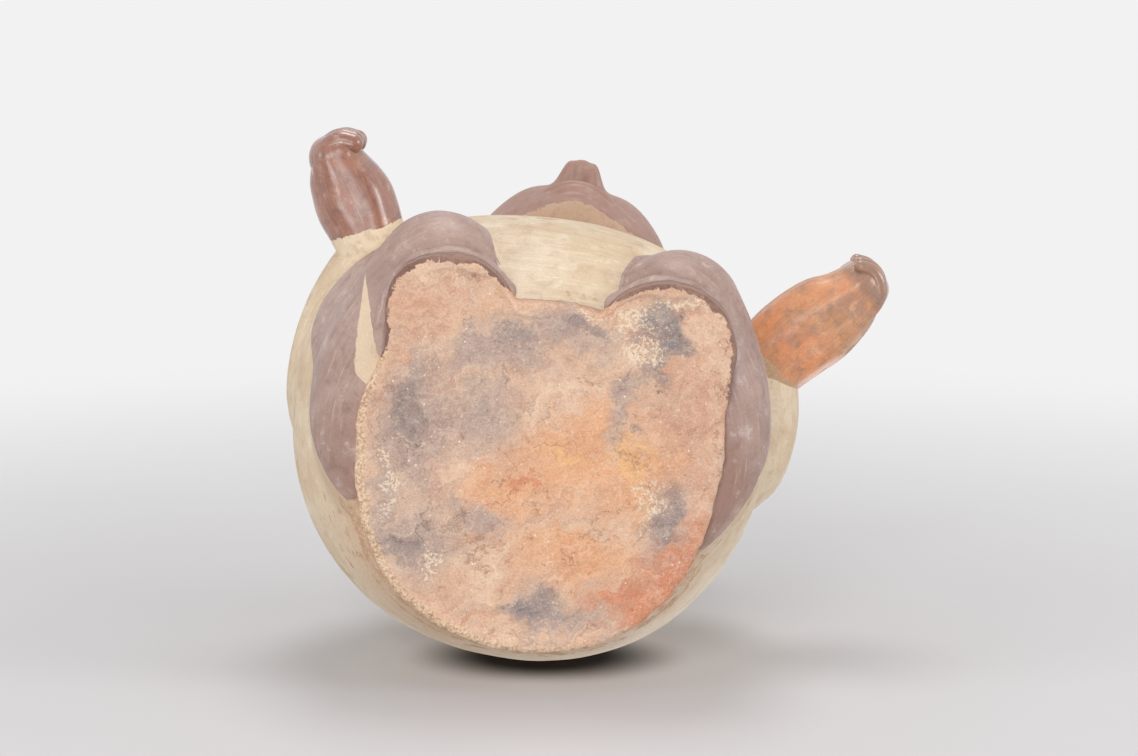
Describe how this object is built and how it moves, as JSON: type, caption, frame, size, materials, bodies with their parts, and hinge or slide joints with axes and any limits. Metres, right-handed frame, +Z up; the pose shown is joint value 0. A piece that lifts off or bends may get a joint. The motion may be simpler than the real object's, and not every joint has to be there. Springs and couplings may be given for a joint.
{
  "type": "figural vessel",
  "caption": "Kneeling human-figure jar in slip-painted ceramic: hollow body and head, folded legs, hands held forward and a short flared spout on the crown.",
  "frame": {"origin": "middle of the flat underside of the base slab, which the jar stands on", "axes": "+Z up from the foot to the spout, -Y the way the figure faces, -X the figure's right hand"},
  "size_m": [0.1747, 0.1433, 0.2182],
  "materials": {
    "bare_clay": "matt, unslipped, fire-clouded",
    "cream_slip": "matt slip with brush streaks",
    "brown_slip": "burnished slip",
    "orange_slip": "burnished slip, smoke-stained",
    "dark_slip": "burnished slip"
  },
  "bodies": {
    "root": {"base_slab": "bare_clay", "body_front": "cream_slip", "body_back": "cream_slip", "right_thigh": "brown_slip", "left_thigh": "brown_slip", "right_shin": "brown_slip", "left_shin": "brown_slip", "right_sleeve": "cream_slip", "left_sleeve": "cream_slip", "right_hand": "brown_slip", "left_hand": "orange_slip", "right_fingers": "brown_slip", "left_fingers": "orange_slip", "right_thumb": "brown_slip", "left_thumb": "orange_slip", "neck_coil": "cream_slip", "head_front": "brown_slip", "head_back": "dark_slip", "right_ear": "brown_slip", "left_ear": "brown_slip", "right_ear_disc": "cream_slip", "left_ear_disc": "cream_slip", "headband": "cream_slip", "spout_neck": "brown_slip", "spout_rim": "brown_slip"}
  },
  "joints": []
}
